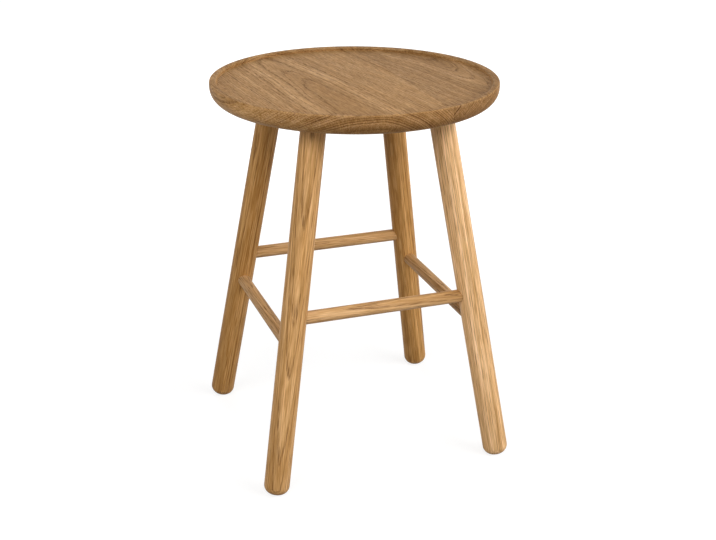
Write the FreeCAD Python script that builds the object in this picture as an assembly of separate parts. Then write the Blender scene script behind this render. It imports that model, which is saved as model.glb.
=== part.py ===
import FreeCAD, Part
import math
import os

# A round oak stool: a dished seat glued up from three boards, four splayed legs that are turned
# with a tenon at the top, and four dowel stretchers. The legs stand in blind sockets under the
# seat, and a wedge in a saw kerf spreads each tenon as the leg is driven home.
# Millimetres. +Z is up, +X is to the right, +Y is to the back, and the origin is on the floor
# under the middle of the seat.

# Seat
stool_height = 474.0
seat_diameter = 350.0
seat_thickness = 24.0
board_width = 117.0
rim_width = 9.0
dish_depth = 4.0
dish_cove_radius = 2.4
rim_chamfer = 0.8
edge_band = 4.4
edge_undercut = 13.0

# Legs: the spacings are between centre lines, at the seat's underside and at the floor
leg_foot_diameter = 31.4
leg_top_diameter = 30.2
top_spacing_across = 155.2
top_spacing_deep = 164.4
foot_spacing_across = 296.6
foot_spacing_deep = 274.8
foot_rounding = 11.0
foot_levelling = 0.6

# Leg tenons, their sockets and their wedges
tenon_diameter = 22.0
wood_over_socket = 4.0
socket_end_gap = 1.0
kerf_stop = 3.0
wedge_thin_end = 1.5
wedge_thick_end = 3.0

# Stretchers: one pair runs across at the front and back, the other runs deep at the sides
stretcher_diameter = 16.0
across_stretcher_height = 217.5
deep_stretcher_height = 183.0
stretcher_past_axis = 2.5
stretcher_end_chamfer = 1.0
bore_end_gap = 1.0

# Room for glue between the two faces of a joint
glue_gap = 0.1

# Values that follow from the sizes above
UP = FreeCAD.Vector(0, 0, 1)
seat_radius = seat_diameter / 2
underside_height = stool_height - seat_thickness
dish_floor_height = stool_height - dish_depth
clear_span = 2 * (seat_diameter + stool_height)
splay_across = (foot_spacing_across - top_spacing_across) / 2
splay_deep = (foot_spacing_deep - top_spacing_deep) / 2
leg_lean = math.atan2(math.hypot(splay_across, splay_deep), underside_height)
leg_length = underside_height / math.cos(leg_lean)
tenon_radius = tenon_diameter / 2
socket_radius = tenon_radius + glue_gap
socket_rise = seat_thickness - dish_depth - wood_over_socket
socket_depth = (socket_rise - socket_radius * math.sin(leg_lean)) / math.cos(leg_lean)
tenon_length = socket_depth - socket_end_gap

# Which side of the middle each leg stands on, across and deep
CORNERS = {
    "front_left": (-1, -1),
    "front_right": (1, -1),
    "back_left": (-1, 1),
    "back_right": (1, 1),
}

# The two legs that each stretcher joins, and its height
STRETCHERS = {
    "front": ("front_left", "front_right", across_stretcher_height),
    "back": ("back_left", "back_right", across_stretcher_height),
    "left": ("front_left", "back_left", deep_stretcher_height),
    "right": ("front_right", "back_right", deep_stretcher_height),
}


def profile_point(radius, height):
    """A point of a turned profile, in the XZ plane."""
    return FreeCAD.Vector(radius, 0, height)


def quarter_round(start, end, corner):
    """A quarter circle from start to end that takes off or fills in a square corner."""
    centre = start + end - corner
    middle = centre + (corner - centre).normalize() * (start - centre).Length
    return Part.Arc(start, middle, end).toShape()


def turned(edges):
    """The solid of a closed profile turned about the Z axis."""
    face = Part.Face(Part.Wire(edges))
    return face.revolve(FreeCAD.Vector(0, 0, 0), UP, 360)


def round_bar(radius, start, end):
    """A plain round bar between two points."""
    run = end - start
    return Part.makeCylinder(radius, run.Length, start, run)


def seat_edge(under_edge, band_foot):
    """The arc that rounds the seat's edge under, upright where it meets the band above it."""
    inward = band_foot.x - under_edge.x
    drop = band_foot.z - under_edge.z
    radius = (inward ** 2 + drop ** 2) / (2 * inward)
    centre = band_foot - FreeCAD.Vector(radius, 0, 0)
    half_turn = math.atan2(drop, radius - inward) / 2
    middle = centre + profile_point(math.cos(half_turn), -math.sin(half_turn)) * radius
    return Part.Arc(under_edge, middle, band_foot).toShape()


def seat_blank():
    """The whole seat as it comes off the lathe: raised rim, flat dish and rounded-under edge."""
    wall_radius = seat_radius - rim_width
    chamfer = min(rim_chamfer, dish_depth / 3)
    cove = min(dish_cove_radius, dish_depth / 2)
    under_axis = profile_point(0, underside_height)
    under_edge = profile_point(seat_radius - edge_undercut, underside_height)
    band_foot = profile_point(seat_radius, stool_height - edge_band)
    band_top = profile_point(seat_radius, stool_height - chamfer)
    rim_outer = profile_point(seat_radius - chamfer, stool_height)
    rim_inner = profile_point(wall_radius + chamfer, stool_height)
    wall_top = profile_point(wall_radius, stool_height - chamfer)
    wall_foot = profile_point(wall_radius, dish_floor_height + cove)
    dish_edge = profile_point(wall_radius - cove, dish_floor_height)
    dish_axis = profile_point(0, dish_floor_height)
    edges = [
        Part.makeLine(under_axis, under_edge),
        seat_edge(under_edge, band_foot),
        Part.makeLine(band_foot, band_top),
        Part.makeLine(band_top, rim_outer),
        Part.makeLine(rim_outer, rim_inner),
        Part.makeLine(rim_inner, wall_top),
        Part.makeLine(wall_top, wall_foot),
        quarter_round(wall_foot, dish_edge, profile_point(wall_radius, dish_floor_height)),
        Part.makeLine(dish_edge, dish_axis),
        Part.makeLine(dish_axis, under_axis),
    ]
    return turned(edges)


def leg_point(corner, height):
    """Where a leg's centre line is at a height above the floor."""
    side, depth = CORNERS[corner]
    share = height / underside_height
    across = foot_spacing_across / 2 - splay_across * share
    deep = foot_spacing_deep / 2 - splay_deep * share
    return FreeCAD.Vector(side * across, depth * deep, height)


def on_leg(shape, corner):
    """A shape made upright about the Z axis, moved onto a leg's centre line from the floor up."""
    foot = leg_point(corner, 0)
    direction = leg_point(corner, underside_height) - foot
    placement = FreeCAD.Placement(foot, FreeCAD.Rotation(UP, direction))
    return shape.transformed(placement.toMatrix(), copy=True)


def leg_shaft():
    """The turned shaft of a leg, with a rounded foot and spare length at the top."""
    foot_radius = leg_foot_diameter / 2
    top_radius = leg_top_diameter / 2
    rounding = min(foot_rounding, foot_radius - foot_levelling)
    flat_radius = foot_radius - rounding
    lowest = flat_radius * math.sin(leg_lean) + rounding * (1 - math.cos(leg_lean))
    end = (lowest - foot_levelling) / math.cos(leg_lean)
    spare = leg_top_diameter * math.tan(leg_lean)
    spare_radius = top_radius + (top_radius - foot_radius) * spare / leg_length
    end_axis = profile_point(0, end)
    end_flat = profile_point(flat_radius, end)
    shaft_foot = profile_point(foot_radius, end + rounding)
    shaft_top = profile_point(spare_radius, leg_length + spare)
    top_axis = profile_point(0, leg_length + spare)
    edges = [
        Part.makeLine(end_axis, end_flat),
        quarter_round(end_flat, shaft_foot, profile_point(foot_radius, end)),
        Part.makeLine(shaft_foot, shaft_top),
        Part.makeLine(shaft_top, top_axis),
        Part.makeLine(top_axis, end_axis),
    ]
    return turned(edges)


def slab_between(low, high):
    """A wide level slab from one height to another."""
    corner = FreeCAD.Vector(-clear_span / 2, -clear_span / 2, low)
    return Part.makeBox(clear_span, clear_span, high - low, corner)


def tenon_wedge():
    """A wedge across the tenon, from the foot of its kerf to the bottom of the socket."""
    thin_height = leg_length + kerf_stop
    thick_height = leg_length + socket_depth
    corners = [
        FreeCAD.Vector(-tenon_diameter, -wedge_thin_end / 2, thin_height),
        FreeCAD.Vector(-tenon_diameter, wedge_thin_end / 2, thin_height),
        FreeCAD.Vector(-tenon_diameter, wedge_thick_end / 2, thick_height),
        FreeCAD.Vector(-tenon_diameter, -wedge_thick_end / 2, thick_height),
    ]
    outline = Part.makePolygon(corners + corners[:1])
    plate = Part.Face(outline).extrude(FreeCAD.Vector(2 * tenon_diameter, 0, 0))
    return plate.common(Part.makeCylinder(tenon_radius, leg_length + socket_depth))


def stretcher_ends(name):
    """The two ends of a stretcher, each a little past the centre line of its leg."""
    first, second, height = STRETCHERS[name]
    start = leg_point(first, height)
    end = leg_point(second, height)
    overrun = (end - start).normalize() * stretcher_past_axis
    return start - overrun, end + overrun


def stretcher(name):
    """A plain dowel with a small chamfer at both ends."""
    start, end = stretcher_ends(name)
    bar = round_bar(stretcher_diameter / 2, start, end)
    rims = [edge for edge in bar.Edges if edge.isClosed()]
    return bar.makeChamfer(stretcher_end_chamfer, rims)


def stretcher_bores(corner):
    """The blind bores of a leg, each drilled from the middle of the stretcher that it takes."""
    bores = []
    for name, (first, second, _) in STRETCHERS.items():
        if corner in (first, second):
            start, end = stretcher_ends(name)
            middle = (start + end) / 2
            tip = start if corner == first else end
            bottom = tip + (tip - middle).normalize() * bore_end_gap
            bores.append(round_bar(stretcher_diameter / 2 + glue_gap, middle, bottom))
    return bores


def leg(corner):
    """A leg: shaft, foot levelled on the floor, shoulder cut to the seat, split tenon, two bores."""
    shaft = on_leg(leg_shaft(), corner)
    shaft = shaft.common(slab_between(0, underside_height))
    tenon_foot = profile_point(0, leg_length - tenon_length)
    tenon_end = profile_point(0, leg_length + tenon_length)
    tenon = on_leg(round_bar(tenon_radius, tenon_foot, tenon_end), corner)
    kerf = on_leg(tenon_wedge(), corner)
    return shaft.fuse(tenon).cut([kerf] + stretcher_bores(corner)).removeSplitter()


def leg_socket(corner):
    """The blind socket for a leg's tenon, drilled along the leg's centre line."""
    start = profile_point(0, leg_length - socket_depth)
    bottom = profile_point(0, leg_length + socket_depth)
    return on_leg(round_bar(socket_radius, start, bottom), corner)


def seat_boards():
    """The seat parted along its two glue lines, which run from front to back."""
    seat = seat_blank().cut([leg_socket(corner) for corner in CORNERS])
    joint_inner = (board_width - glue_gap) / 2
    joint_outer = (board_width + glue_gap) / 2
    spans = {
        "left": (-clear_span, -joint_outer),
        "middle": (-joint_inner, joint_inner),
        "right": (joint_outer, clear_span),
    }
    boards = {}
    for name, (low, high) in spans.items():
        corner = FreeCAD.Vector(low, -clear_span / 2, 0)
        span = Part.makeBox(high - low, clear_span, clear_span, corner)
        boards["seat_board_" + name] = seat.common(span).removeSplitter()
    return boards


def stool():
    """Every piece of the stool by name."""
    pieces = seat_boards()
    for corner in CORNERS:
        pieces["leg_" + corner] = leg(corner)
        pieces["tenon_wedge_" + corner] = on_leg(tenon_wedge(), corner)
    for name in STRETCHERS:
        pieces["stretcher_" + name] = stretcher(name)
    return pieces


os.makedirs("parts", exist_ok=True)
for piece_name, shape in stool().items():
    shape.exportStep(os.path.join("parts", piece_name + ".step"))
    volume_cm3 = round(shape.Volume / 1000, 2)
    print(piece_name, "solids", len(shape.Solids), "valid", shape.isValid(), "cm3", volume_cm3)
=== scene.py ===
# %% [markdown]
# # A round oak stool
# The stool is plain joiner's work in oiled oak: a round seat with a raised rim, four splayed legs
# and four dowels that brace them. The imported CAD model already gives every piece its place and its
# size, so this lesson keeps that frame and adds what a saw bench cannot: fine meshes, a wood that
# has rings, pores and rays, soft light and a camera.

# %% Load the frame
from math import atan2, cos, degrees, pi, radians, sin, tan

import bmesh
import bpy
from mathutils import Euler, Matrix, Vector


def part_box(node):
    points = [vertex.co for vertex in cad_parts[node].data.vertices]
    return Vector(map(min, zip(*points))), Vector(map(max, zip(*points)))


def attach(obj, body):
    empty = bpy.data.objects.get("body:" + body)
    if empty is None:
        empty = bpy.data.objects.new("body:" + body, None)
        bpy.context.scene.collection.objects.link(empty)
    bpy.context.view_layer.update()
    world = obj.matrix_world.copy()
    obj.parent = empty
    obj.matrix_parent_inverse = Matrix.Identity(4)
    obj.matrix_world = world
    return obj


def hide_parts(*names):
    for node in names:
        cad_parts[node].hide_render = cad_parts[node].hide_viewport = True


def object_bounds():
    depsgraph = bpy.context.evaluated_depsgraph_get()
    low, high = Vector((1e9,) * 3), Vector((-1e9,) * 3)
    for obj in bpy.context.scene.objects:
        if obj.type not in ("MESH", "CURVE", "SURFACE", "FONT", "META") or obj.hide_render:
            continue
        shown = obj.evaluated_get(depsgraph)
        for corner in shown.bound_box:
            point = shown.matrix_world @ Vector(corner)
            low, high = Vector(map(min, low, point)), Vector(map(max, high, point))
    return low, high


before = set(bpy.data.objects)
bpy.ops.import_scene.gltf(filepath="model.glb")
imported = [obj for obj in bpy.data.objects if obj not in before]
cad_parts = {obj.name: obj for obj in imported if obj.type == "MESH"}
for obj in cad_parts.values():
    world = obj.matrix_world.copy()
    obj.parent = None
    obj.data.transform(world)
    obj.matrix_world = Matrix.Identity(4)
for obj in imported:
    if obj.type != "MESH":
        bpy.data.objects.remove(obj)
cad_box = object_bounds()
cad_size = cad_box[1] - cad_box[0]
print("CAD nodes:", len(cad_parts), "size in mm:", [round(1000 * side, 1) for side in cad_size])

# %% [markdown]
# ## Sizes
# A turner works from a rod: a stick with the few sizes that matter marked on it. The heights and the
# seat's radius are read from the frame, and the rest repeats the sizes that the solids were made
# with. Blender counts in metres, so each size is written in millimetres and multiplied once.

# %% The rod
MM = 0.001
seat_low, seat_high = (corner.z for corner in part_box("seat_board_middle"))
seat_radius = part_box("seat_board_right")[1].x
dish_depth = 4 * MM
rim_width = 9 * MM
board_width = 117 * MM
leg_foot_diameter = 31.4 * MM
leg_top_diameter = 30.2 * MM
leg_top_place = Vector((77.6, 82.2)) * MM
leg_floor_place = Vector((148.3, 137.4)) * MM
foot_rounding = 11 * MM
foot_levelling = 0.6 * MM
tenon_diameter = 22 * MM
socket_depth = 14.12 * MM
socket_end_gap = 1 * MM
stretcher_diameter = 16 * MM
stretcher_past_axis = 2.5 * MM
across_height = 217.5 * MM
deep_height = 183 * MM
joint_gap = 0.1 * MM

splay = leg_floor_place - leg_top_place
leg_lean = atan2(splay.length, seat_low)
leg_length = seat_low / cos(leg_lean)
print("seat from", round(seat_low / MM, 2), "to", round(seat_high / MM, 2), "mm")
print("legs lean", round(degrees(leg_lean), 2), "degrees")

# %% [markdown]
# ## Where the legs stand
# Each leg's centre line runs from a place on the floor to a place under the seat. One function gives
# the point on that line at any height, and the stretchers and bores use the same function, so every
# joint meets where it should.

# %% Leg lines
CORNERS = {
    "front_left": (-1, -1),
    "front_right": (1, -1),
    "back_left": (-1, 1),
    "back_right": (1, 1),
}
STRETCHERS = {
    "front": ("front_left", "front_right", across_height),
    "back": ("back_left", "back_right", across_height),
    "left": ("front_left", "back_left", deep_height),
    "right": ("front_right", "back_right", deep_height),
}


def leg_point(corner, height):
    """The point on a leg's centre line at a height above the floor."""
    side, depth = CORNERS[corner]
    place = leg_floor_place.lerp(leg_top_place, height / seat_low)
    return Vector((side * place.x, depth * place.y, height))


def leg_axis(corner):
    """The direction of a leg, from the floor up."""
    return (leg_point(corner, seat_low) - leg_point(corner, 0)).normalized()


def stretcher_ends(name):
    """The two ends of a stretcher, a little past the centre lines of its legs."""
    first, second, height = STRETCHERS[name]
    start = leg_point(first, height)
    end = leg_point(second, height)
    overrun = (end - start).normalized() * stretcher_past_axis
    return start - overrun, end + overrun


for name in STRETCHERS:
    start, end = stretcher_ends(name)
    print("stretcher", name, "is", round((end - start).length / MM, 1), "mm long")

# %% [markdown]
# ## The camera
# The picture was taken from in front and a little to the left, well above the seat, with a lens long
# enough to keep the legs straight. A camera is set from a place, two angles and a focal length in
# pixels. A small sideways shift puts the stool where it stands in the picture without turning it.

# %% Camera
IMAGE_WIDTH = 716
focal_pixels = 1220.26
axis_pixel = 339.45
camera_place = Vector((-489.2, -1364.7, 829.1)) * MM
camera_heading = radians(-19.014)
camera_tilt = radians(90 - 22.738)


def put(name, data):
    """A new object in the scene, for a camera, a mesh or a lamp."""
    made = bpy.data.objects.new(name, data)
    bpy.context.collection.objects.link(made)
    return made


camera_data = bpy.data.cameras.new("camera")
camera = put("camera", camera_data)
camera.location = camera_place
camera.rotation_euler = Euler((camera_tilt, 0, camera_heading))
camera_data.lens = focal_pixels / IMAGE_WIDTH * camera_data.sensor_width
camera_data.shift_x = (IMAGE_WIDTH / 2 - axis_pixel) / IMAGE_WIDTH
bpy.context.scene.camera = camera
print("lens", round(camera_data.lens, 2), "mm, shift", round(camera_data.shift_x, 4))

# %% [markdown]
# ## Helpers for node trees
# Every tree in this lesson, for shapes and for wood, is wired by the same few helpers. The nodes could
# be wired by hand in the node editor, but a script can be read from top to bottom. One helper adds a
# node, one feeds its inputs with numbers or with other sockets, and one opens a new tree. A socket
# knows which tree it is in, so a node that is fed by one needs no other word on where it belongs.

# %% Nodes and trees
NODE_STEP = 180
LINKED = (bpy.types.Node, bpy.types.NodeSocket)


def feed(node, feeds):
    """Give a node's inputs plain values, or link sockets to them. A node stands for its first output."""
    for key, value in feeds.items():
        if isinstance(value, LINKED):
            socket = value.outputs[0] if isinstance(value, bpy.types.Node) else value
            node.id_data.links.new(socket, node.inputs[key])
        else:
            node.inputs[key].default_value = value


def tree_of(values):
    """The tree of the first node or socket among some values."""
    return next(value for value in values if isinstance(value, LINKED)).id_data


def add(kind, feeds=None, tree=None, **options):
    """Add a node to a tree, or to the tree of its feeds. Set its options and feed its inputs."""
    feeds = feeds or {}
    tree = tree or tree_of(feeds.values())
    made = tree.nodes.new(kind)
    made.location.x = NODE_STEP * len(tree.nodes)
    for option, value in options.items():
        setattr(made, option, value)
    feed(made, feeds)
    return made


def open_tree(name, inputs, outputs):
    """A new tree with sockets listed by kind. Gives the tree, its inputs and its output node."""
    kind = "GeometryNodeTree" if "Geometry" in outputs else "ShaderNodeTree"
    tree = bpy.data.node_groups.new(name, kind)
    for direction, sockets in (("INPUT", inputs), ("OUTPUT", outputs)):
        for sort, names in sockets.items():
            for socket in names:
                tree.interface.new_socket(socket, in_out=direction, socket_type="NodeSocket" + sort)
    return tree, add("NodeGroupInput", tree=tree).outputs, add("NodeGroupOutput", tree=tree)


def place_group(group, feeds):
    """Put a node group into the tree of its feeds and give its outputs."""
    return add(group.bl_idname.replace("NodeTree", "NodeGroup"), feeds, node_tree=group).outputs


print("nodes stand", NODE_STEP, "apart in the editor")

# %% Sums, ranges and noise
NOISE_KINDS = {("Vector",): "3D", ("W",): "1D", ("Vector", "W"): "4D"}
SMOOTH = "SMOOTHSTEP"


def calc(operation, *values):
    """A Math node on numbers or sockets."""
    return add("ShaderNodeMath", dict(enumerate(values)), operation=operation)


def plus(first, second):
    """The sum of two numbers or sockets."""
    return calc("ADD", first, second)


def minus(first, second):
    """The difference of two numbers or sockets."""
    return calc("SUBTRACT", first, second)


def times(first, second):
    """The product of two numbers or sockets."""
    return calc("MULTIPLY", first, second)


def vector_calc(operation, *values, out=0):
    """A Vector Math node on vectors or sockets."""
    return add("ShaderNodeVectorMath", dict(enumerate(values)), operation=operation).outputs[out]


def length_of(vector):
    """The length of a vector."""
    return vector_calc("LENGTH", vector, out="Value")


def flattened(vector):
    """A vector without its height."""
    return vector_calc("MULTIPLY", vector, (1, 1, 0))


def split_axes(vector):
    """The three parts of a vector, by name."""
    return add("ShaderNodeSeparateXYZ", {"Vector": vector}).outputs


def join_axes(**axes):
    """A vector from its parts. A part that isn't given is 0."""
    return add("ShaderNodeCombineXYZ", axes)


def ramp(value, start, end, low=0, high=1, way="LINEAR"):
    """A value taken from one range to another, and held at the ends."""
    feeds = {"Value": value, "From Min": start, "From Max": end, "To Min": low, "To Max": high}
    return add("ShaderNodeMapRange", feeds, interpolation_type=way)


def noise(detail, scale=1, out="Fac", **place):
    """Noise over a Vector, along a line (W), or over both."""
    feeds = {"Scale": scale, "Detail": detail, **place}
    return add("ShaderNodeTexNoise", feeds, noise_dimensions=NOISE_KINDS[tuple(place)]).outputs[out]


print("kinds of noise:", list(NOISE_KINDS.values()))

# %% [markdown]
# ## Growth rings
# Oak is a ring-porous wood: each year starts with a band of large open pores and ends with dense
# wood. A board or a leg is a straight cut out of a round trunk, so the figure on every face follows
# if the rings are a solid field in space: the distance from the pith, counted in years. The group
# takes coordinates with the pith along Z and lets the rings waver. It gives the porous band, a tone
# for each year, a slower tone for runs of years, and the distance from the pith.

# %% Growth rings group
SLOW_WAVES, SLOW_DETAIL = (14, 14, 4), 1.5
QUICK_WAVES, QUICK_DETAIL = (90, 90, 16), 1
QUICK_SHARE = (0.12, 0.12, 0)
GOOD_YEAR_PACE, GOOD_YEAR_SWING = 0.35, 2.2
RUN_PACE = 0.3
BAND_FULL, BAND_GONE, BAND_COMES = 0.04, 0.36, 0.9
rings_group, ring_in, ring_out = open_tree(
    "growth rings",
    {"Vector": ["Vector"], "Float": ["Year Width", "Waver", "Seed"]},
    {"Float": ["Porous Band", "Year Tone", "Run Tone", "Pith Distance"]},
)


def ring_push(waves, detail):
    """A push on the rings, with so many waves to the metre across and along the grain."""
    place = vector_calc("MULTIPLY", ring_in["Vector"], waves)
    push = noise(detail, out="Color", Vector=place, W=ring_in["Seed"])
    return vector_calc("SUBTRACT", push, (0.5, 0.5, 0.5))


quick_push = vector_calc("MULTIPLY", ring_push(QUICK_WAVES, QUICK_DETAIL), QUICK_SHARE)
push = vector_calc("ADD", ring_push(SLOW_WAVES, SLOW_DETAIL), quick_push)
shift = add("ShaderNodeVectorMath", {0: push, "Scale": ring_in["Waver"]}, operation="SCALE")
pith_distance = length_of(flattened(vector_calc("ADD", ring_in["Vector"], shift)))
plain_years = calc("DIVIDE", pith_distance, ring_in["Year Width"])
good_years = noise(2, GOOD_YEAR_PACE, W=plus(plain_years, ring_in["Seed"]))
years = calc("MULTIPLY_ADD", good_years, GOOD_YEAR_SWING, plain_years)
in_year = calc("FRACT", years)
band_fade = ramp(in_year, BAND_FULL, BAND_GONE, 1, 0, "SMOOTHERSTEP")
band_start = ramp(in_year, BAND_COMES, 1, way=SMOOTH)
year_tone = add("ShaderNodeTexWhiteNoise", {"W": calc("FLOOR", years)}, noise_dimensions="1D")
feed(ring_out, {
    "Porous Band": calc("MAXIMUM", band_fade, band_start),
    "Year Tone": year_tone.outputs["Value"],
    "Run Tone": noise(3, RUN_PACE, W=plus(years, ring_in["Seed"])),
    "Pith Distance": pith_distance,
})
print(rings_group.name, "has", len(rings_group.nodes), "nodes")

# %% [markdown]
# ## Pores, fibres and rays
# Three finer marks sit on the rings. Pores are tubes that run with the grain, so on a long face they
# are short dark dashes and on end grain they are dots. Fibres are soft streaks of tone. Rays are thin
# sheets that run out from the pith, and they show as pale flecks where a face happens to follow them.
# All three are cells or noise in space, stretched along the grain, so each face is cut true.

# %% Pores, fibres and rays group
PORE_WIDTH, PORE_LENGTH = 0.8 * MM, 10 * MM
PORE_SMALL, PORE_GROWTH, PORE_WALL = 0.13, 0.36, 0.12
FIBRE_WIDTH, FIBRE_LENGTH = 1.1 * MM, 14 * MM
STREAK_WIDTH, STREAK_LENGTH = 4.5 * MM, 55 * MM
RAY_SIZE = (1.1 * MM, 26 * MM, 16 * MM)
RAY_CORE, RAY_EDGE = 0.22, 0.36
RAY_ARC_RADIUS = 100 * MM
marks_group, mark_in, mark_out = open_tree(
    "pores fibres and rays",
    {"Vector": ["Vector"], "Float": ["Porous Band", "Pith Distance"]},
    {"Float": ["Pores", "Fibres", "Streaks", "Rays"]},
)


def stretched(vector, width, length):
    """Coordinates in which a mark of that width and length, along the grain, is about one unit."""
    return vector_calc("DIVIDE", vector, (width, width, length))


def cell_distance(place):
    """The distance from the middle of the nearest of many cells."""
    return add("ShaderNodeTexVoronoi", {"Vector": place, "Scale": 1}).outputs["Distance"]


pore_distance = cell_distance(stretched(mark_in["Vector"], PORE_WIDTH, PORE_LENGTH))
pore_size = calc("MULTIPLY_ADD", mark_in["Porous Band"], PORE_GROWTH, PORE_SMALL)
mark_axes = split_axes(mark_in["Vector"])
ray_arc = times(calc("ARCTAN2", mark_axes["X"], mark_axes["Y"]), RAY_ARC_RADIUS)
ray_space = join_axes(X=ray_arc, Y=mark_in["Pith Distance"], Z=mark_axes["Z"])
ray_distance = cell_distance(vector_calc("DIVIDE", ray_space, RAY_SIZE))
feed(mark_out, {
    "Pores": ramp(minus(pore_size, pore_distance), 0, PORE_WALL),
    "Fibres": noise(3, Vector=stretched(mark_in["Vector"], FIBRE_WIDTH, FIBRE_LENGTH)),
    "Streaks": noise(2, Vector=stretched(mark_in["Vector"], STREAK_WIDTH, STREAK_LENGTH)),
    "Rays": ramp(ray_distance, RAY_CORE, RAY_EDGE, 1, 0),
})
print(marks_group.name, "has", len(marks_group.nodes), "nodes")

# %% [markdown]
# ## Worn edges, painted highlights and painted shade
# Clothes and hands wear the oil off the rim's inner arris, a little off its outer one, and the floor scuffs
# the feet, so there the wood is paler and drier. On the rim's arrises that paler line is also a painted
# highlight. The wood is darkened with painted shade from a little inside the rim's foot outwards, over
# the rim and round under the edge, but not at the widest part of the edge. All these places are known
# from the sizes, as rings round the seat's axis and a height over the floor, so no texture has to be
# drawn. Noise breaks the worn and highlighted marks up, because wear is never even.

# %% Worn edges, painted highlight and painted shade group
ARRIS_REACH, FOOT_REACH = 3 * MM, 9 * MM
RIM_SHADE_REACH, SEAT_REACH, EDGE_REACH = 32 * MM, 30 * MM, 3 * MM
OUTER_SHARE = 0.15
PATCH_SCALE, PATCH_LOW, PATCH_HIGH = 90, 0.35, 0.65
wear_and_light_group, wear_light_in, wear_light_out = open_tree(
    "worn edges highlights and rim shade",
    {"Vector": ["Vector"], "Float": ["Rim Radius", "Rim Width", "Rim Height"]},
    {"Float": ["Wear And Highlight", "Rim Shade"]},
)
over_floor = split_axes(wear_light_in["Vector"])["Z"]
from_axis = length_of(flattened(wear_light_in["Vector"]))
below_top = minus(wear_light_in["Rim Height"], over_floor)
inner_radius = minus(wear_light_in["Rim Radius"], wear_light_in["Rim Width"])


def near(value, reach):
    """1 at a place, fading to 0 within a reach of it."""
    return ramp(value, 0, reach, 1, 0, SMOOTH)


def near_ring(radius):
    """1 on a ring of a radius at the rim's height, fading to 0 round it."""
    return near(length_of(join_axes(X=minus(from_axis, radius), Y=below_top)), ARRIS_REACH)


# Pale rings on the rim's outer and inner arrises: worn oil, and a painted highlight along them as well.
outer_arris_highlight = times(near_ring(wear_light_in["Rim Radius"]), OUTER_SHARE)
rim_arris_highlight = calc("MAXIMUM", outer_arris_highlight, near_ring(inner_radius))
wear_and_highlight = calc("MAXIMUM", rim_arris_highlight, near(over_floor, FOOT_REACH))
patches = ramp(noise(4, PATCH_SCALE, Vector=wear_light_in["Vector"]), PATCH_LOW, PATCH_HIGH)
# Painted shade: darker from a little inside the rim's foot outwards, over the rim and round under the edge,
# fading out at the edge's widest part.
rim_shade_start = minus(inner_radius, RIM_SHADE_REACH)
towards_rim = ramp(from_axis, rim_shade_start, inner_radius, way=SMOOTH)
edge_start = minus(wear_light_in["Rim Radius"], EDGE_REACH)
off_edge = ramp(from_axis, edge_start, wear_light_in["Rim Radius"], 1, 0, SMOOTH)
on_seat = times(off_edge, calc("LESS_THAN", below_top, SEAT_REACH))
feed(wear_light_out, {
    "Wear And Highlight": times(wear_and_highlight, patches),
    "Rim Shade": times(towards_rim, on_seat),
})
print(wear_and_light_group.name, "has", len(wear_and_light_group.nodes), "nodes")

# %% [markdown]
# ## Oak, oiled
# This group mixes the rings and marks into what the eye sees. The dense wood is tan, the porous band
# is browner, the pores are dark with oil and the rays are pale. End grain drinks oil, so it is darker
# wherever the face turns across the grain. The same marks give a height for the bump and a sheen: oil
# leaves satin on dense wood and hardly any in the pores.

# %% Oak group
oak_group, oak_in, oak_out = open_tree(
    "oiled oak",
    {
        "Vector": ["Vector", "Grain Direction"],
        "Float": ["Year Width", "Waver", "Seed", "Band Strength", "Run Strength", "Fibre Strength",
                  "Streak Strength", "Pore Strength", "Ray Strength", "Wear And Highlight", "Rim Shade"],
        "Color": ["Dense Wood", "Porous Wood"],
    },
    {"Color": ["Color"], "Float": ["Roughness", "Height"]},
)
ring_marks = place_group(rings_group, {
    socket: oak_in[socket] for socket in ("Vector", "Year Width", "Waver", "Seed")
})
fine_marks = place_group(marks_group, {
    "Vector": oak_in["Vector"],
    "Porous Band": ring_marks["Porous Band"],
    "Pith Distance": ring_marks["Pith Distance"],
})
print("marks in the oak:", ", ".join(ring_marks.keys() + fine_marks.keys()))

# %% Rings and end grain
END_GRAIN_STARTS, END_GRAIN_FULL = 0.3, 0.9
BAND_SHARES = (0.35, 1)


def blend(share, under, over, way="MIX"):
    """A colour mix of two colours or sockets by a share."""
    feeds = {"Factor": share, 6: under, 7: over}
    return add("ShaderNodeMix", feeds, data_type="RGBA", blend_type=way).outputs[2]


def spread(value, low, high):
    """A value from 0 to 1 brought to lie between low and high."""
    return calc("MULTIPLY_ADD", value, high - low, low)


face = add("ShaderNodeNewGeometry", tree=oak_group).outputs["Normal"]
facing = vector_calc("DOT_PRODUCT", face, oak_in["Grain Direction"], out="Value")
end_grain = ramp(calc("ABSOLUTE", facing), END_GRAIN_STARTS, END_GRAIN_FULL, way=SMOOTH)
year_share = spread(calc("POWER", ring_marks["Year Tone"], 2), *BAND_SHARES)
shown_share = calc("MAXIMUM", times(year_share, oak_in["Band Strength"]), end_grain)
band_share = times(ring_marks["Porous Band"], shown_share)
wood = blend(band_share, oak_in["Dense Wood"], oak_in["Porous Wood"])
print("a year shows", BAND_SHARES[0], "to", BAND_SHARES[1], "of its porous band")

# %% Tones
# The third pair darkens the wood with painted shade towards the rim.
YEAR_TONES, DRIFT_TONES, RIM_SHADE_TONES = (1.04, 0.96), (0.84, 1.16), (1, 0.85)
DRIFT_WAVES = (30, 30, 8)
WARM_WIDTH, WARM_LENGTH = 7 * MM, 40 * MM
WARM_REDS, WARM_BLUES = (0.95, 1.05), (1.1, 0.9)
GREEN_SHARE, BLUE_SHARE = 1.24, 1.8


def swing(mark, strength):
    """A tone round 1 that a mark pushes up or down by a strength."""
    return calc("MULTIPLY_ADD", minus(mark, 0.5), strength, 1)


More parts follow.
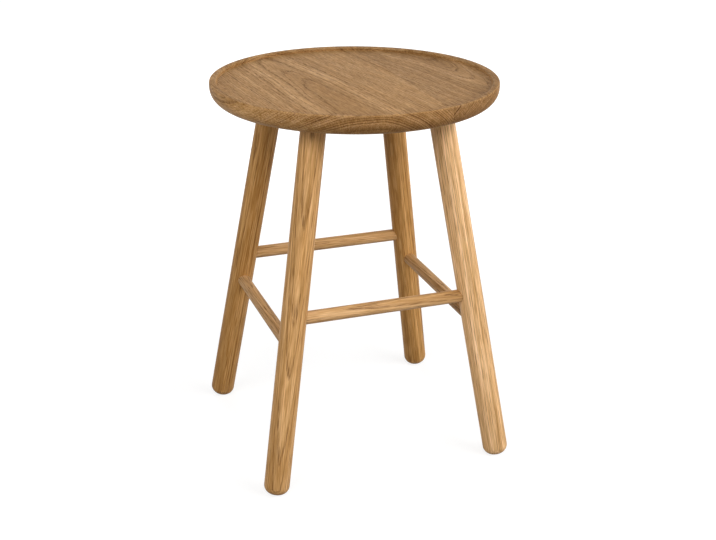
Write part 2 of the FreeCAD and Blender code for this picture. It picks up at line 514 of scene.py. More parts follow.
drift = noise(2, Vector=vector_calc("MULTIPLY", oak_in["Vector"], DRIFT_WAVES))
warmth = noise(2, Vector=stretched(oak_in["Vector"], WARM_WIDTH, WARM_LENGTH))
tone = spread(ring_marks["Year Tone"], *YEAR_TONES)
# The last tone below is painted shade towards the rim, not a mark of the wood.
for another in (
    spread(drift, *DRIFT_TONES),
    swing(ring_marks["Run Tone"], oak_in["Run Strength"]),
    swing(fine_marks["Fibres"], oak_in["Fibre Strength"]),
    swing(fine_marks["Streaks"], oak_in["Streak Strength"]),
    spread(oak_in["Rim Shade"], *RIM_SHADE_TONES),
):
    tone = times(tone, another)
wood = vector_calc("MULTIPLY", wood, join_axes(
    X=times(tone, spread(warmth, *WARM_REDS)),
    Y=calc("POWER", tone, GREEN_SHARE),
    Z=times(calc("POWER", tone, BLUE_SHARE), spread(warmth, *WARM_BLUES)),
))
print("green and blue follow a tone by the powers", GREEN_SHARE, "and", BLUE_SHARE)

# %% Marks, oil, sheen and relief
PORE_COLOUR = (0.11, 0.045, 0.012, 1)
RAY_COLOUR = (0.68, 0.40, 0.16, 1)
# Worn places are paler and greyer. On the rim's arrises this colour is also a painted highlight.
WORN_AND_HIGHLIT_COLOUR, WORN_AND_HIGHLIT_SHARE = (0.66, 0.46, 0.26, 1), 0.45
OIL_COLOUR, OIL_SHARES = (0.53, 0.47, 0.42, 1), (0.62, 1)
SATIN = (0.4, 0.56)
PORE_DULLS, END_GRAIN_DULLS, RUBBED_DULLS = 0.16, 0.2, 0.12
BAND_RELIEF, FIBRE_RELIEF, PORE_RELIEF = -0.25, 0.4, -1

wood = blend(times(fine_marks["Rays"], oak_in["Ray Strength"]), wood, RAY_COLOUR)
wood = blend(times(fine_marks["Pores"], oak_in["Pore Strength"]), wood, PORE_COLOUR)
# Paler colour where edges are worn, which on the rim's arrises is also a painted highlight.
wood = blend(times(oak_in["Wear And Highlight"], WORN_AND_HIGHLIT_SHARE), wood, WORN_AND_HIGHLIT_COLOUR)
oil_taken = times(end_grain, spread(ring_marks["Porous Band"], *OIL_SHARES))
open_ends = times(end_grain, END_GRAIN_DULLS)
open_pores = calc("MULTIPLY_ADD", fine_marks["Pores"], PORE_DULLS, open_ends)
dry_wood = calc("MULTIPLY_ADD", oak_in["Wear And Highlight"], RUBBED_DULLS, open_pores)
pore_relief = times(fine_marks["Pores"], PORE_RELIEF)
fibre_relief = calc("MULTIPLY_ADD", fine_marks["Fibres"], FIBRE_RELIEF, pore_relief)
feed(oak_out, {
    "Color": blend(oil_taken, wood, OIL_COLOUR, "MULTIPLY"),
    "Roughness": plus(spread(fine_marks["Fibres"], *SATIN), dry_wood),
    "Height": calc("MULTIPLY_ADD", ring_marks["Porous Band"], BAND_RELIEF, fibre_relief),
})
print(oak_group.name, "has", len(oak_group.nodes), "nodes")

# %% [markdown]
# ## One oak for each piece
# Every piece was cut from its own place in a trunk, so each gets a material of its own around the
# shared group. A Mapping node turns the stool's coordinates into the trunk's: Z along the grain and
# the pith at the origin. Moving the pith near or far, and leaning the grain a little, is what makes
# straight lines on one leg and flames on another. A stretch along Z draws all the marks out, as in
# straight-grown wood. Two numbers set the colour: a tone, and a share of bleach.

# %% Oak material
DENSE_WOOD = (0.60, 0.330, 0.124)
POROUS_WOOD = (0.36, 0.175, 0.055)
CREAM = (0.80, 0.62, 0.42)
TONE_SHARES = (1, 1.15, 1.5)
BUMP_DEPTH, BUMP_STRENGTH = 0.12 * MM, 0.6


def toned(colour, tone, bleach):
    """A wood colour made lighter or darker, and bleached by a share towards cream."""
    deep = [channel * tone ** share for channel, share in zip(colour, TONE_SHARES)]
    return (*(channel + (cream - channel) * bleach for channel, cream in zip(deep, CREAM)), 1)


def trunk_axes(grain, outward):
    """Axes with Z along the grain and Y from the pith towards the piece."""
    along = grain.normalized()
    across = outward.cross(along).normalized()
    return Matrix((across, along.cross(across), along)).transposed()


def oak(name, pith, grain, outward, year_width, waver, seed, tone=1.0, bleach=0.0, band=1.0,
        runs=0.6, fibres=1.3, streaks=0.5, pores=0.6, rays=0.35, gloss=0.12, stretch=1.0):
    """An oiled oak for a piece whose pith runs through a point, along the grain."""
    material = bpy.data.materials.new(name)
    material.use_nodes = True
    tree = material.node_tree
    place = add("ShaderNodeTexCoord", tree=tree).outputs["Object"]
    trunk = add("ShaderNodeMapping", {
        "Vector": place,
        "Location": pith,
        "Rotation": trunk_axes(grain, outward).to_euler(),
        "Scale": (1, 1, stretch),
    }, vector_type="TEXTURE")
    wear_and_light = place_group(wear_and_light_group, {
        "Vector": place, "Rim Radius": seat_radius, "Rim Width": rim_width, "Rim Height": seat_high,
    })
    finish = place_group(oak_group, {
        "Vector": trunk, "Grain Direction": grain.normalized(), "Year Width": year_width,
        "Waver": waver, "Seed": seed,
        "Dense Wood": toned(DENSE_WOOD, tone, bleach), "Porous Wood": toned(POROUS_WOOD, tone, bleach),
        "Band Strength": band, "Run Strength": runs, "Fibre Strength": fibres,
        "Streak Strength": streaks, "Pore Strength": pores, "Ray Strength": rays,
        "Wear And Highlight": wear_and_light["Wear And Highlight"], "Rim Shade": wear_and_light["Rim Shade"],
    })
    relief = {"Height": finish["Height"], "Distance": BUMP_DEPTH, "Strength": BUMP_STRENGTH}
    feed(tree.nodes["Principled BSDF"], {
        "Specular IOR Level": gloss,
        "Base Color": finish["Color"],
        "Roughness": finish["Roughness"],
        "Normal": add("ShaderNodeBump", relief),
    })
    return material


print("dense wood", DENSE_WOOD, "porous wood", POROUS_WOOD)

# %% [markdown]
# ## How each piece was cut
# The left and middle boards of the seat come from one plank, so they share a pith and the figure runs
# on across the glue line. The right board comes from another, a little darker. The grain of all three
# runs from front to back, turned a few degrees, and rises or falls a little through the board, which
# draws the long flames in the dish. Each leg is split from its own billet with a pith on another side.

# %% Oak for the boards
# The boards' share of bleach towards cream is painted sheen, the pale cast of the dish, while their gloss
# stays low.
BOARD_YEAR, BOARD_SHEEN_BLEACH, BOARD_GLOSS = 2.1 * MM, 0.065, 0.05
plank_tone = 0.68
right_tone = plank_tone * 0.82
plank_rise, right_rise = radians(-1.2), radians(3)
plank_pith = Vector((-56 * MM, 0, seat_high - 100 * MM))
right_pith = Vector((135 * MM, 0, seat_high - 95 * MM))
up = Vector((0, 0, 1))
seat_grain = Vector((-tan(radians(6.5)), 1, 0))
# For each board: the pith, the rise of the grain, how far the rings waver, the seed and the tone.
BOARD_CUTS = {
    "left": (plank_pith, plank_rise, 10 * MM, 2.3, plank_tone),
    "middle": (plank_pith, plank_rise, 10 * MM, 2.3, plank_tone),
    "right": (right_pith, right_rise, 18 * MM, 7.1, right_tone),
}
BOARD_OAK = {}
for name, (pith, rise, waver, seed, tone) in BOARD_CUTS.items():
    grain = seat_grain + up * tan(rise)
    BOARD_OAK[name] = oak("oak board " + name, pith, grain, up, BOARD_YEAR, waver, seed, tone,
                          BOARD_SHEEN_BLEACH, runs=0.75, fibres=1.5, pores=0.65, gloss=BOARD_GLOSS)
print("board materials:", [material.name for material in BOARD_OAK.values()])

# %% Oak for the legs
LEG_WAVER = 6 * MM
# For each leg: the bearing of the pith and its distance, the slope of the grain towards it, the width
# of a year, the seed, the tone and the bleach.
LEG_CUTS = {
    "front_left": (radians(20), 55 * MM, radians(1.6), 2.2 * MM, 29.0, 0.86, 0.02),
    # The front right leg is pale wood, and its strong bleach also paints in a satin sheen.
    "front_right": (radians(110), 85 * MM, radians(0.6), 2.2 * MM, 23.0, 1.13, 0.17),
    "back_left": (radians(60), 75 * MM, radians(0.7), 2.2 * MM, 35.0, 0.76, -0.03),
    "back_right": (radians(300), 70 * MM, radians(0.8), 2.3 * MM, 47.0, 0.85, -0.06),
}
LEG_OAK = {}
for corner, (bearing, pith_away, slope, year_width, seed, tone, bleach) in LEG_CUTS.items():
    to_pith = Vector((sin(bearing), cos(bearing), 0))
    pith = leg_point(corner, seat_low / 2) + to_pith * pith_away
    grain = leg_axis(corner) + to_pith * tan(slope)
    LEG_OAK[corner] = oak("oak leg " + corner, pith, grain, -to_pith, year_width, LEG_WAVER, seed, tone,
                          bleach, band=0.9, runs=1.0, fibres=1.6, streaks=0.6, stretch=2.5)
print("leg materials:", [material.name for material in LEG_OAK.values()])

# %% Oak for the stretchers
DOWEL_TONES = {"front": 0.83, "back": 0.78, "left": 0.71, "right": 0.70}
DOWEL_BLEACH, DOWEL_SLOPE = 0.08, 0.02
DOWEL_PITH_AWAY, DOWEL_YEAR, DOWEL_WAVER = 55 * MM, 2.4 * MM, 6 * MM
FIRST_SEED, SEED_STEP = 60.0, 9
STRETCHER_OAK = {}
for number, name in enumerate(STRETCHERS):
    start, end = stretcher_ends(name)
    to_pith = Vector((0, 0, -1)) if number % 2 else Vector((0, 0.7, -0.7))
    pith = (start + end) / 2 + to_pith * DOWEL_PITH_AWAY
    grain = (end - start).normalized() + to_pith * DOWEL_SLOPE
    seed = FIRST_SEED + SEED_STEP * number
    STRETCHER_OAK[name] = oak("oak stretcher " + name, pith, grain, -to_pith, DOWEL_YEAR, DOWEL_WAVER,
                              seed, DOWEL_TONES[name], DOWEL_BLEACH, band=1.3, streaks=0.9, pores=0.75,
                              stretch=2.0)
print("stretcher materials:", [material.name for material in STRETCHER_OAK.values()])

# %% [markdown]
# ## A turned stick
# Legs, tenons, dowels and drill bits are all the same shape to a lathe: a straight run with a taper
# and perhaps a rounded end. So one Geometry Nodes tree makes them from their sizes. A flat grid is
# rolled up: one way along it runs down the stick, the other way runs round it. The radius at each
# place follows a rule, and the seam and the two end points are merged shut.

# %% A grid, counted in rings
STICK_SIZES = {
    "Float": ["Length", "Foot Diameter", "Top Diameter", "Foot Rounding", "Top Rounding"],
    "Int": ["Sides", "Rings", "Round Rings"],
}
stick_tree, stick_in, stick_out = open_tree("turned stick", STICK_SIZES, {"Geometry": ["Mesh"]})
round_rings = stick_in["Round Rings"]
last_ring = plus(calc("MULTIPLY_ADD", round_rings, 2, 2), stick_in["Rings"])
grid = add("GeometryNodeMeshGrid", {
    "Size X": 1, "Size Y": 1,
    "Vertices X": plus(last_ring, 1),
    "Vertices Y": plus(stick_in["Sides"], 1),
})
grid_place = split_axes(add("GeometryNodeInputPosition", tree=stick_tree))
ring = calc("ROUND", times(plus(grid_place["X"], 0.5), last_ring))
turn = times(plus(grid_place["Y"], 0.5), 2 * pi)


def passed(ring_count, whole):
    """How much of a run of rings is passed, from 0 to 1."""
    return add("ShaderNodeClamp", {"Value": calc("DIVIDE", ring_count, whole)})


past_cap = minus(ring, 1)
past_foot = minus(past_cap, round_rings)
past_shaft = minus(past_foot, stick_in["Rings"])
foot_turn = times(passed(past_cap, round_rings), pi / 2)
shaft_share = passed(past_foot, stick_in["Rings"])
top_turn = times(passed(past_shaft, round_rings), pi / 2)
print("a stick's sizes:", STICK_SIZES["Float"])

# %% The grid, rolled up
MERGE_DISTANCE = 0.001 * MM


def lacking(size, share):
    """What a size lacks when only a share of it is there."""
    return times(size, minus(1, share))


foot_round, top_round = stick_in["Foot Rounding"], stick_in["Top Rounding"]
straight = minus(minus(stick_in["Length"], foot_round), top_round)
foot_rise = lacking(foot_round, calc("COSINE", foot_turn))
top_rise = times(top_round, calc("SINE", top_turn))
along = plus(calc("MULTIPLY_ADD", straight, shaft_share, foot_rise), top_rise)
foot_cut = lacking(foot_round, calc("SINE", foot_turn))
top_cut = lacking(top_round, calc("COSINE", top_turn))
gain = minus(stick_in["Top Diameter"], stick_in["Foot Diameter"])
run_share = calc("DIVIDE", along, stick_in["Length"])
diameter = calc("MULTIPLY_ADD", gain, run_share, stick_in["Foot Diameter"])
foot_radius = minus(times(diameter, 0.5), foot_cut)
before_end = calc("LESS_THAN", ring, minus(last_ring, 0.5))
inside_caps = times(calc("GREATER_THAN", ring, 0.5), before_end)
radius = times(minus(foot_radius, top_cut), inside_caps)
rolled = add("GeometryNodeSetPosition", {
    "Geometry": grid.outputs["Mesh"],
    "Position": join_axes(
        X=times(radius, calc("COSINE", turn)),
        Y=times(radius, calc("SINE", turn)),
        Z=along,
    ),
})
closed = add("GeometryNodeMergeByDistance", {"Geometry": rolled, "Distance": MERGE_DISTANCE})
outward = add("GeometryNodeFlipFaces", {"Mesh": closed})
feed(stick_out, {"Mesh": outward})
print(stick_tree.name, "has", len(stick_tree.nodes), "nodes")

# %% [markdown]
# ## From a tree to a plain mesh
# The export wants plain meshes at the origin, so a tree is only a workshop: a mesh gets it as a
# modifier, its sizes are set by each socket's identifier, and the evaluated result is copied out.
# Each tree ends alike: sharp edges are marked, instances are made real and the material is set. The
# simplest of them puts a stick on its line.

# %% Finishing and growing
SHARP_ANGLE = radians(35)


def finish_mesh(mesh, material):
    """Smooth faces with sharp edges at the corners, realized, with a material."""
    edge_angle = add("GeometryNodeInputMeshEdgeAngle", tree=mesh.id_data)
    smooth = add("GeometryNodeSetShadeSmooth", {0: mesh}, domain="FACE")
    edged = add("GeometryNodeSetShadeSmooth", {
        0: smooth,
        "Selection": calc("GREATER_THAN", edge_angle, SHARP_ANGLE),
        "Shade Smooth": False,
    }, domain="EDGE")
    real = add("GeometryNodeRealizeInstances", {"Geometry": edged})
    return add("GeometryNodeSetMaterial", {"Geometry": real, "Material": material})


def grow(name, tree, sizes, mesh=None):
    """Run a tree on a mesh, or on an empty one, and keep the result as a plain mesh."""
    piece = put(name, mesh or bpy.data.meshes.new(name))
    modifier = piece.modifiers.new("workshop", "NODES")
    modifier.node_group = tree
    for socket in tree.interface.items_tree:
        if socket.in_out == "INPUT" and socket.name in sizes:
            modifier[socket.identifier] = sizes[socket.name]
    graph = bpy.context.evaluated_depsgraph_get()
    grown = bpy.data.meshes.new_from_object(piece.evaluated_get(graph))
    piece.modifiers.remove(modifier)
    piece.data = grown
    return piece


def tell(piece, node):
    """Print a piece's faces, and how far its box is from its CAD node's box."""
    low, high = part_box(node)
    points = [vertex.co for vertex in piece.data.vertices]
    errors = [abs(min(p[axis] for p in points) - low[axis]) for axis in range(3)]
    errors += [abs(max(p[axis] for p in points) - high[axis]) for axis in range(3)]
    print(piece.name, len(piece.data.polygons), "faces, off by", round(max(errors) / MM, 3), "mm")


print("sharp edges are those over", round(degrees(SHARP_ANGLE)), "degrees")

# %% A stick on its line
EASING_RINGS = 6
line_tree, line_in, line_out = open_tree(
    "stick in place",
    {**STICK_SIZES, "Vector": ["Foot", "Turn"], "Material": ["Material"]},
    {"Geometry": ["Mesh"]},
)
plain_stick = place_group(stick_tree, {
    socket: line_in[socket] for names in STICK_SIZES.values() for socket in names
})
placed = add("GeometryNodeTransform", {
    "Geometry": plain_stick["Mesh"], "Translation": line_in["Foot"], "Rotation": line_in["Turn"],
})
feed(line_out, {"Mesh": finish_mesh(placed, line_in["Material"])})


def turn_towards(direction):
    """The rotation that takes an upright stick to a direction."""
    return up.rotation_difference(direction).to_euler()


def grow_stick(name, start, end, diameter, material, rounding=0.0, sides=64, rings=16):
    """A round stick between two points."""
    run = end - start
    return grow(name, line_tree, {
        "Length": run.length, "Foot Diameter": diameter, "Top Diameter": diameter,
        "Foot Rounding": rounding, "Top Rounding": rounding, "Sides": sides, "Rings": rings,
        "Round Rings": EASING_RINGS, "Foot": start, "Turn": turn_towards(run), "Material": material,
    })


print(line_tree.name, "has", len(line_tree.nodes), "nodes")

# %% [markdown]
# ## Stretchers
# The four stretchers are plain dowels with their ends eased, so that they start into the bores. They
# are the stick tree at its simplest.

# %% Stretchers
END_EASING = 1 * MM
pieces = {}
for name in STRETCHERS:
    start, end = stretcher_ends(name)
    node = "stretcher_" + name
    wood = STRETCHER_OAK[name]
    pieces[node] = grow_stick("dowel_" + name, start, end, stretcher_diameter, wood, END_EASING)
    tell(pieces[node], node)

# %% [markdown]
# ## Cutting tools
# A leg is a stick that four tools have been at: a saw that levels the foot on the floor, a saw that
# cuts the shoulder to the seat's underside, a drill for each stretcher, and a saw that splits the
# tenon for its wedge. Each tool is a closed mesh, and the cut is a Boolean inside the leg's own tree.

# %% Tools
KERF_STOP = 3 * MM
WEDGE_THIN, WEDGE_THICK = 1.5 * MM, 3 * MM
BORE_END_GAP = 1 * MM
BORE_DIAMETER = stretcher_diameter + 2 * joint_gap


def tool_collection(name, tools):
    """A collection of cutting tools, apart from the scene."""
    collection = bpy.data.collections.new(name)
    for tool in tools:
        bpy.context.collection.objects.unlink(tool)
        collection.objects.link(tool)
    return collection


def stretcher_drills(corner):
    """One drill for each stretcher that a leg takes, from the stretcher's middle to past its end."""
    drills = []
    for name, (first, second, _) in STRETCHERS.items():
        if corner in (first, second):
            start, end = stretcher_ends(name)
            middle = (start + end) / 2
            tip = start if corner == first else end
            bottom = tip + (tip - middle).normalized() * BORE_END_GAP
            drills.append(grow_stick("drill", middle, bottom, BORE_DIAMETER, None, rings=20))
    return drills


def plain_mesh(name, shape):
    """Keep a shape that was made point by point as a mesh."""
    mesh = bpy.data.meshes.new(name)
    shape.to_mesh(mesh)
    shape.free()
    return mesh


def kerf_saw(corner):
    """The slot of a tenon's wedge, open at the end and at both sides of the tenon."""
    shape = bmesh.new()
    for reach in (-tenon_diameter, tenon_diameter):
        for height, thickness in ((KERF_STOP, WEDGE_THIN), (socket_depth, WEDGE_THICK)):
            for side in (-0.5, 0.5):
                shape.verts.new((reach, side * thickness, leg_length + height))
    bmesh.ops.convex_hull(shape, input=shape.verts)
    bmesh.ops.recalc_face_normals(shape, faces=shape.faces)
    mesh = plain_mesh("kerf", shape)
    mesh.transform(Matrix.LocRotScale(leg_point(corner, 0), turn_towards(leg_axis(corner)), None))
    return put("kerf", mesh)


leg_tools = {}
for corner in CORNERS:
    leg_tools[corner] = tool_collection("tools " + corner, stretcher_drills(corner) + [kerf_saw(corner)])

# %% [markdown]
# ## Legs
# The leg's tree uses the stick tree twice, for the shaft and for the tenon. The shaft is sawn level
# at the floor and at the seat, the tenon is added, and then the drills and the kerf are cut out.

# %% Cuts inside a tree
BLOCK = 200 * MM


def raised(mesh, height, foot, turn):
    """A stick moved up its own axis, then onto the leg's line."""
    lifted = add("GeometryNodeTransform", {"Geometry": mesh, "Translation": join_axes(Z=height)})
    return add("GeometryNodeTransform", {
        "Geometry": lifted, "Translation": foot, "Rotation": turn,
    })


def saw_block(foot, height):
    """A block round a leg, centred at a height."""
    cube = add("GeometryNodeMeshCube", {"Size": (BLOCK, BLOCK, BLOCK)}, foot.id_data)
    lift = add("ShaderNodeCombineXYZ", {"Z": height}, foot.id_data)
    return add("GeometryNodeTransform", {
        "Geometry": cube.outputs["Mesh"], "Translation": vector_calc("ADD", flattened(foot), lift),
    })


def cut(body, tool):
    """A body less a tool."""
    meshes = {"Mesh 1": body, "Mesh 2": tool}
    return add("GeometryNodeMeshBoolean", meshes, operation="DIFFERENCE", solver="EXACT")


def joined(body, other):
    """A body and another mesh made one."""
    made = add("GeometryNodeMeshBoolean", tree=body.id_data, operation="UNION", solver="EXACT")
    for mesh in (other, body):
        feed(made, {"Mesh 2": mesh})
    return made


def cut_by_tools(body, collection):
    """A body less every tool of a collection."""
    tools = add("GeometryNodeCollectionInfo", {"Collection": collection}, transform_space="ORIGINAL")
    return cut(body, add("GeometryNodeRealizeInstances", {"Geometry": tools}))


print("saw blocks are", round(BLOCK / MM), "mm wide")

# %% Leg tree
leg_tree, leg_in, leg_out = open_tree(
    "turned leg",
    {
        "Float": ["Length", "Foot Diameter", "Top Diameter", "Foot Rounding", "Foot Start",
                  "Spare Length", "Tenon Diameter", "Tenon Length", "Shoulder Height"],
        "Vector": ["Foot", "Turn"],
        "Collection": ["Tools"],
        "Material": ["Material"],
    },
    {"Geometry": ["Mesh"]},
)
leg_facets = {"Sides": 96, "Round Rings": 14, "Top Rounding": 0.0}
whole_length = plus(leg_in["Length"], leg_in["Spare Length"])
shaft_stick = place_group(stick_tree, {
    "Length": minus(whole_length, leg_in["Foot Start"]),
    "Foot Diameter": leg_in["Foot Diameter"], "Top Diameter": leg_in["Top Diameter"],
    "Foot Rounding": leg_in["Foot Rounding"], "Rings": 30, **leg_facets,
})
tenon_stick = place_group(stick_tree, {
    "Length": times(leg_in["Tenon Length"], 2),
    "Foot Diameter": leg_in["Tenon Diameter"], "Top Diameter": leg_in["Tenon Diameter"],
    "Foot Rounding": 0.0, "Rings": 6, **leg_facets,
})
leg_line = (leg_in["Foot"], leg_in["Turn"])
shaft = raised(shaft_stick["Mesh"], leg_in["Foot Start"], *leg_line)
tenon_start = minus(leg_in["Length"], leg_in["Tenon Length"])
tenon = raised(tenon_stick["Mesh"], tenon_start, *leg_line)
over_seat = plus(leg_in["Shoulder Height"], BLOCK / 2)
level = cut(shaft, saw_block(leg_in["Foot"], -BLOCK / 2))
shouldered = cut(level, saw_block(leg_in["Foot"], over_seat))
drilled = cut_by_tools(joined(shouldered, tenon), leg_in["Tools"])
feed(leg_out, {"Mesh": finish_mesh(drilled, leg_in["Material"])})
print(leg_tree.name, "has", len(leg_tree.nodes), "nodes")

# %% Legs
flat_radius = leg_foot_diameter / 2 - foot_rounding
lowest = flat_radius * sin(leg_lean) + foot_rounding * (1 - cos(leg_lean))
foot_start = (lowest - foot_levelling) / cos(leg_lean)
for corner in CORNERS:
    node = "leg_" + corner
    pieces[node] = grow("turned_leg_" + corner, leg_tree, {
        "Length": leg_length, "Foot Diameter": leg_foot_diameter, "Top Diameter": leg_top_diameter,
        "Foot Rounding": foot_rounding, "Foot Start": foot_start,
        "Spare Length": leg_top_diameter * tan(leg_lean), "Tenon Diameter": tenon_diameter,
        "Tenon Length": socket_depth - socket_end_gap, "Shoulder Height": seat_low,
        "Foot": leg_point(corner, 0), "Turn": turn_towards(leg_axis(corner)),
        "Tools": leg_tools[corner], "Material": LEG_OAK[corner],
    })
    tell(pieces[node], node)

# %% [markdown]
# ## Seat
# The seat is turned from a blank of three boards: a flat dish, a raised rim with a small cove at its
# foot, and an edge that rounds under. Its half-section is a short run of lines and arcs, spun round
# the middle. Then the blank is parted at the two glue lines and the leg sockets are drilled.

# %% Seat profile
EDGE_BAND, EDGE_UNDERCUT = 6.6 * MM, 13 * MM
RIM_OUTER_ROUNDING, RIM_INNER_ROUNDING, COVE_RADIUS = 2.0 * MM, 3.0 * MM, 1.0 * MM
DISH_RINGS, UNDER_RINGS = 6, 6
EDGE_STEPS, OUTER_STEPS, INNER_STEPS, COVE_STEPS = 20, 10, 8, 8


def arc(centre, radius, start_angle, end_angle, steps):
    """Points on an arc in the plane of radius and height, angles in degrees from straight out."""
    points = []
    for step in range(steps + 1):
        angle = radians(start_angle + (end_angle - start_angle) * step / steps)
        points.append((centre[0] + radius * cos(angle), centre[1] + radius * sin(angle)))
    return points


def seat_profile():
    """The seat's half-section as radius and height, from the axis below to the axis above."""
    band_low = seat_high - EDGE_BAND
    drop = band_low - seat_low
    edge_radius = (EDGE_UNDERCUT ** 2 + drop ** 2) / (2 * EDGE_UNDERCUT)
    edge_angle = degrees(atan2(drop, edge_radius - EDGE_UNDERCUT))
    under_edge = seat_radius - EDGE_UNDERCUT
    points = [(under_edge * step / UNDER_RINGS, seat_low) for step in range(UNDER_RINGS)]
    points += arc((seat_radius - edge_radius, band_low), edge_radius, -edge_angle, 0, EDGE_STEPS)
    outer, inner, cove = RIM_OUTER_ROUNDING, RIM_INNER_ROUNDING, COVE_RADIUS
    points += arc((seat_radius - outer, seat_high - outer), outer, 0, 90, OUTER_STEPS)
    wall = seat_radius - rim_width
    points += arc((wall + inner, seat_high - inner), inner, 90, 180, INNER_STEPS)
    dish_height = seat_high - dish_depth
    dish_radius = wall - cove
    points += arc((dish_radius, dish_height + cove), cove, 0, -90, COVE_STEPS)
    points += [(dish_radius * (1 - step / DISH_RINGS), dish_height) for step in range(1, DISH_RINGS + 1)]
    return points


print("seat profile has", len(seat_profile()), "points")

# %% Seat blank, parted
SPIN_STEPS = 288
SEAM_DISTANCE = 0.01 * MM


def seat_blank():
    """The whole seat as it comes off the lathe."""
    blank = bmesh.new()
    rim = [blank.verts.new((radius, 0, height)) for radius, height in seat_profile()]
    line = [blank.edges.new(pair) for pair in zip(rim, rim[1:])]
    bmesh.ops.spin(blank, geom=rim + line, cent=(0, 0, 0), axis=(0, 0, 1), angle=2 * pi, steps=SPIN_STEPS)
    bmesh.ops.remove_doubles(blank, verts=blank.verts, dist=SEAM_DISTANCE)
    bmesh.ops.recalc_face_normals(blank, faces=blank.faces)
    return blank


def parted(low, high):
    """The part of the seat between two planes across it, closed at the cuts."""
    board = seat_blank()
    for place, facing in ((low, -1), (high, 1)):
        if place is not None:
            every = board.verts[:] + board.edges[:] + board.faces[:]
            found = bmesh.ops.bisect_plane(board, geom=every, plane_co=(place, 0, 0), plane_no=(facing, 0, 0),
                                           clear_outer=True, dist=MERGE_DISTANCE)
            edges = [item for item in found["geom_cut"] if isinstance(item, bmesh.types.BMEdge)]
            bmesh.ops.contextual_create(board, geom=edges)
    bmesh.ops.recalc_face_normals(board, faces=board.faces)
    return plain_mesh("board", board)


print("the blank is spun in", SPIN_STEPS, "steps")

# %% Boards
SEEN_GLUE_LINE = 0.02 * MM
SOCKET_DIAMETER = tenon_diameter + 2 * joint_gap
seat_tree, seat_in, seat_out = open_tree(
    "drilled board",
    {"Geometry": ["Board"], "Collection": ["Tools"], "Material": ["Material"]},
    {"Geometry": ["Mesh"]},
)
drilled = cut_by_tools(seat_in["Board"], seat_in["Tools"])
feed(seat_out, {"Mesh": finish_mesh(drilled, seat_in["Material"])})


def socket_drill(corner):
    """The drill for a leg's blind socket, along the leg's own line."""
    axis = leg_axis(corner)
    start = leg_point(corner, 0) + axis * (leg_length - socket_depth)
    bottom = leg_point(corner, 0) + axis * (leg_length + socket_depth)
    return grow_stick("socket drill", start, bottom, SOCKET_DIAMETER, None, rings=8)


inner = (board_width - SEEN_GLUE_LINE) / 2
outer = (board_width + SEEN_GLUE_LINE) / 2
BOARDS = {
    "left": (None, -outer, ("front_left", "back_left")),
    "middle": (-inner, inner, ()),
    "right": (outer, None, ("front_right", "back_right")),
}
for name, (low, high, corners) in BOARDS.items():
    node = "seat_board_" + name
    drills = tool_collection("drills " + name, [socket_drill(corner) for corner in corners])
    wants = {"Tools": drills, "Material": BOARD_OAK[name]}
    pieces[node] = grow("oak_board_" + name, seat_tree, wants, parted(low, high))
    tell(pieces[node], node)

# %% [markdown]
# ## On the frame
# Each new piece stands for its CAD node, which is hidden, and rides on the stool's one body.
# The four wedges inside the tenons are never seen, so the CAD solids stay, with an oak of their own.

# %% Ride and replace
WEDGE_YEAR, WEDGE_WAVER, WEDGE_SEED = 2.2 * MM, 4 * MM, 90.0
wedge_to_pith = Vector((40 * MM, 0, 0))
for node, piece in pieces.items():
    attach(piece, "root")
    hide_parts(node)
for corner in CORNERS:
    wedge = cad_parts["tenon_wedge_" + corner]
    low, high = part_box("tenon_wedge_" + corner)
    wedge_oak = oak("oak wedge " + corner, (low + high) / 2 + wedge_to_pith, leg_axis(corner),
                    -wedge_to_pith, WEDGE_YEAR, WEDGE_WAVER, WEDGE_SEED)
    wedge.data.materials.clear()
    wedge.data.materials.append(wedge_oak)
print("pieces:", sorted(piece.name for piece in pieces.values()))

# %% [markdown]
# ## Stage and light
# The picture is a studio shot on white. The floor keeps the stool's soft shadow, and the camera sees
# it glow a little, so that it runs out to plain white. Stronger lamps would do that too, but they
# would bleach the oak. Two wide soft lamps stand in front at the right and the left, with a small one
# between them, and a lower one at the far right lights the side of the seat. A fill lights the back,
# and a faint sky overhead does the rest.

# %% Floor
FLOOR_SIZE, FLOOR_DROP = 14, 0.1 * MM
FLOOR_GREY = (0.3, 0.3, 0.3, 1)
WHITE = (1, 1, 1, 1)
GLOW_NEAR, GLOW_FAR = 0.77, 1
NEAR_EDGE, FAR_EDGE = 0.3, 1.5


def seen_as_white(tree):
    """1 for the rays that show the background: the camera's, and those mirrored or let through."""
    ray_kind = add("ShaderNodeLightPath", tree=tree).outputs
    mirrored = calc("MAXIMUM", ray_kind["Is Glossy Ray"], ray_kind["Is Transmission Ray"])
    return calc("MAXIMUM", ray_kind["Is Camera Ray"], mirrored)


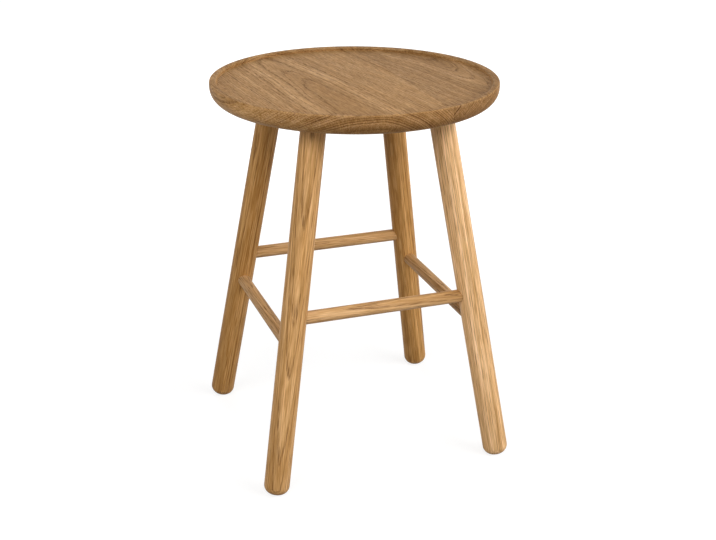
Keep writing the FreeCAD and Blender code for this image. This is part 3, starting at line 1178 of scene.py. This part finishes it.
floor_shape = bmesh.new()
bmesh.ops.create_grid(floor_shape, x_segments=1, y_segments=1, size=FLOOR_SIZE / 2)
floor = put("floor", plain_mesh("floor", floor_shape))
floor.location.z = -FLOOR_DROP
floor_paint = bpy.data.materials.new("white floor")
floor_paint.use_nodes = True
floor_tree = floor_paint.node_tree
paint = floor_tree.nodes["Principled BSDF"]
from_middle = length_of(add("ShaderNodeTexCoord", tree=floor_tree).outputs["Object"])
glow = ramp(from_middle, NEAR_EDGE, FAR_EDGE, GLOW_NEAR, GLOW_FAR)
feed(paint, {
    "Base Color": FLOOR_GREY, "Roughness": 1, "Specular IOR Level": 0, "Emission Color": WHITE,
    "Emission Strength": times(seen_as_white(floor_tree), glow),
})
one_sided = add("ShaderNodeMixShader", {
    0: add("ShaderNodeNewGeometry", tree=floor_tree).outputs["Backfacing"],
    1: paint,
    2: add("ShaderNodeBsdfTransparent", tree=floor_tree),
})
feed(floor_tree.nodes["Material Output"], {"Surface": one_sided})
floor.data.materials.append(floor_paint)
print("floor is", FLOOR_SIZE, "m wide")

# %% Sky and lamps
SKY_LOW, SKY_HIGH = 0.0, 0.14
stool_middle = Vector((0, 0, 0.25))
# For each lamp: its place, its width and height, and the level of light that it gives.
LAMPS = {
    "lamp right": ((1.44, -1.44, 1.38), 2.0, 1.4, 0.80),
    "lamp left": ((-1.77, -1.02, 1.32), 2.0, 1.4, 0.57),
    "lamp front": ((-0.43, -2.0, 1.68), 0.7, 0.7, 0.20),
    "lamp low right": ((2.34, -0.21, 0.75), 1.05, 0.75, 0.26),
    "lamp behind": ((0, 2.3, 0.95), 1.6, 0.9, 0.45),
}
world = bpy.data.worlds.new("studio")
bpy.context.scene.world = world
world.use_nodes = True
sky_tree = world.node_tree
sky_height = split_axes(add("ShaderNodeTexCoord", tree=sky_tree).outputs["Generated"])["Z"]
sky_light = ramp(sky_height, 0, 1, SKY_LOW, SKY_HIGH)
feed(sky_tree.nodes["Background"], {
    "Color": WHITE,
    "Strength": calc("MAXIMUM", seen_as_white(sky_tree), sky_light),
})


def soft_lamp(name, place, width, height, level):
    """A soft lamp that gives a white face at the stool's middle about that level of light."""
    data = bpy.data.lights.new(name, "AREA")
    data.shape = "RECTANGLE"
    data.size = width
    data.size_y = height
    away = Vector(place) - stool_middle
    data.energy = level * pi * pi * away.length_squared
    lamp = put(name, data)
    lamp.location = place
    lamp.rotation_euler = away.to_track_quat("Z", "Y").to_euler()
    return lamp


lamps = {name: soft_lamp(name, *setting) for name, setting in LAMPS.items()}
lamps["lamp behind"].visible_glossy = False
bpy.context.scene.view_settings.view_transform = "Standard"
print("lamps:", list(lamps))
